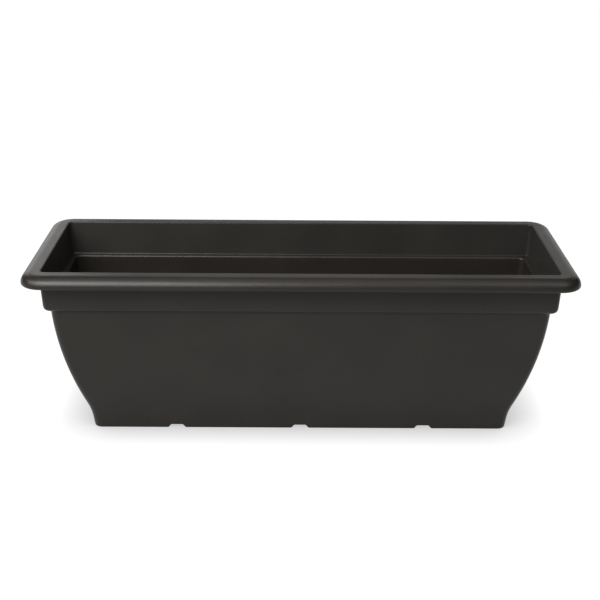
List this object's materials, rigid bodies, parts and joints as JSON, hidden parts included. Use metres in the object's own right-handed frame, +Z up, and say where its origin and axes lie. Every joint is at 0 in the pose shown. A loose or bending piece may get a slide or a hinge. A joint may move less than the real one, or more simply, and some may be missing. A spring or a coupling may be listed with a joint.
{
  "type": "self watering planter",
  "caption": "Rectangular window-box trough with a rolled rim, a lift-out false floor over a water reservoir, wicking baskets, a lidded filler tube and a float level gauge.",
  "frame": {"origin": "centre of the footprint, on the surface that the trough stands on", "axes": "+X along the trough towards its right-hand end as seen from the front, the front faces -Y, +Z up"},
  "size_m": [0.6, 0.21, 0.198],
  "materials": {
    "trough_pp": "fine matte moulded polypropylene",
    "insert_pp": "satin moulded polypropylene",
    "fitting_pp": "satin moulded polypropylene",
    "cap_pp": "fine matte moulded polypropylene",
    "clear_window": "clear polycarbonate",
    "float_foam": "closed-cell foam",
    "rod_pp": "satin plastic",
    "flag_red": "gloss",
    "seal_rubber": "matte",
    "pin_steel": "brushed"
  },
  "bodies": {
    "trough": {"trough_shell": "trough_pp", "overflow_standpipe": "fitting_pp", "overflow_gasket": "seal_rubber", "overflow_nut": "fitting_pp"},
    "drain_plug": {"drain_plug": "fitting_pp", "drain_plug_seal": "seal_rubber"},
    "left_platform": {"platform_left": "insert_pp", "support_legs_left": "insert_pp", "wick_basket_1": "insert_pp", "wick_basket_2": "insert_pp"},
    "right_platform": {"platform_right": "insert_pp", "support_legs_right": "insert_pp", "wick_basket_3": "insert_pp", "wick_basket_4": "insert_pp", "fill_tube": "fitting_pp", "cap_hinge_pin": "pin_steel", "float_cage": "fitting_pp", "indicator_tube": "fitting_pp", "indicator_window": "clear_window", "tube_clip": "fitting_pp"},
    "fill_cap": {"fill_cap": "cap_pp"},
    "level_float": {"level_float": "float_foam", "float_rod": "rod_pp", "level_flag": "flag_red"}
  },
  "joints": [
    {"name": "left_platform_lift", "type": "slide", "parent": "trough", "child": "left_platform", "axis": [0, 0, 1], "range_m": [0, 0.2]},
    {"name": "right_platform_lift", "type": "slide", "parent": "trough", "child": "right_platform", "axis": [0, 0, 1], "range_m": [0, 0.2]},
    {"name": "drain_plug_pull", "type": "slide", "parent": "trough", "child": "drain_plug", "axis": [0, 0, 1], "range_m": [0, 0.03]},
    {"name": "fill_cap_hinge", "type": "hinge", "parent": "right_platform", "child": "fill_cap", "pos_m": [0.239, -0.04, 0.1613], "axis": [0, 1, 0], "range_deg": [0, 115]},
    {"name": "float_rise", "type": "slide", "parent": "right_platform", "child": "level_float", "axis": [0, 0, 1], "range_m": [0, 0.03]}
  ]
}
